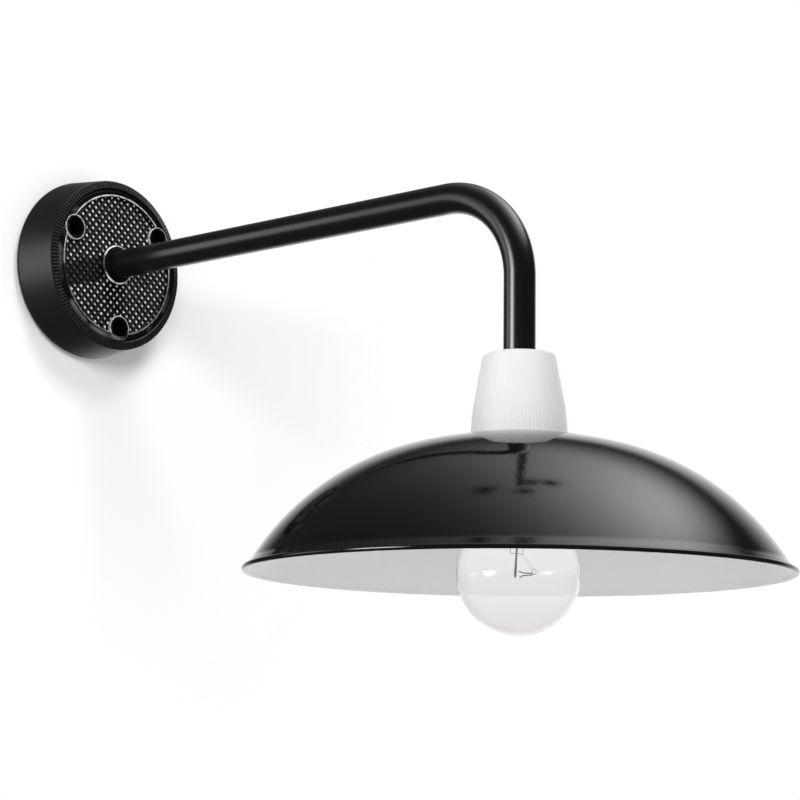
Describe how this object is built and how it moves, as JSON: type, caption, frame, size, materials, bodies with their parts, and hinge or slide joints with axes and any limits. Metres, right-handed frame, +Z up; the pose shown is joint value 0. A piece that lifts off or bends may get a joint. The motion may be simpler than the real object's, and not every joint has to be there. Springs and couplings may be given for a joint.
{
  "type": "wall lamp",
  "caption": "Wall lamp with a round knurled base, a bent black tube arm, a white porcelain lampholder, an enamel dome shade and a clear screw-in bulb.",
  "frame": {"origin": "centre of the base's back face, on the wall", "axes": "+X out of the wall along the arm, +Z up, so the shade's rim faces -Z"},
  "size_m": [0.46, 0.268, 0.2758],
  "materials": {
    "base_paint": "satin black, faintly textured",
    "plate_paint": "gloss black",
    "tube_paint": "satin black",
    "enamel": "gloss vitreous enamel, black outside and white inside",
    "porcelain": "white glaze",
    "brass": "turned",
    "steel": "zinc plated",
    "black_steel": "blackened",
    "rubber": "matt",
    "block_plastic": "milky",
    "brown_wire": "smooth sleeve",
    "blue_wire": "smooth sleeve",
    "earth_wire": "green sleeve with a yellow stripe",
    "glass": "clear",
    "cap_metal": "rolled",
    "insulator": "black glass",
    "bulb_wire": "drawn"
  },
  "bodies": {
    "base": {"wall_base": "base_paint", "cable_grommet": "rubber", "front_plate": "plate_paint", "plate_screws": "black_steel", "arm_tube": "tube_paint", "arm_collar": "tube_paint", "arm_washer": "steel", "arm_locknut": "steel", "terminal_block": "block_plastic", "terminal_sleeves": "brass", "terminal_screws": "steel", "terminal_fixing_screw": "steel", "earth_lug": "brass", "earth_screw": "steel", "earth_wire": "earth_wire", "live_wire": "brown_wire", "neutral_wire": "blue_wire", "tube_end_bush": "steel", "nipple": "steel", "nipple_washer": "steel", "nipple_nut": "steel", "lamp_cap": "porcelain", "socket_insert": "porcelain", "live_terminal": "brass", "neutral_terminal": "brass", "holder_terminal_screws": "steel", "contact_rivets": "brass", "screw_shell": "brass", "holder_skirt": "porcelain", "shade_gasket": "rubber", "shade": "enamel"},
    "centre_contact": {"centre_contact": "brass"},
    "bulb_carrier": {"bulb_insulator": "insulator", "bulb_foot_contact": "steel"},
    "bulb": {"bulb_glass": "glass", "bulb_cap": "cap_metal", "bulb_stem": "glass", "bulb_lead_wires": "bulb_wire", "bulb_support_wires": "bulb_wire", "bulb_filament": "bulb_wire"}
  },
  "joints": [
    {"name": "bulb_travel", "type": "slide", "parent": "base", "child": "bulb_carrier", "axis": [0, 0, -1], "range_m": [0, 0.0182]},
    {"name": "bulb_turn", "type": "hinge", "parent": "bulb_carrier", "child": "bulb", "pos_m": [0.326, 0, -0.15], "axis": [0, 0, -1], "range_deg": [0, 1800]},
    {"name": "contact_flex", "type": "hinge", "parent": "base", "child": "centre_contact", "pos_m": [0.326, -0.0075, -0.11755], "axis": [1, 0, 0], "range_deg": [0, 6], "stiffness_Nm_per_rad": 0.02}
  ],
  "couplings": [
    {"joint": "bulb_travel", "follows": "bulb_turn", "m_per_rad": 0.00057757}
  ]
}
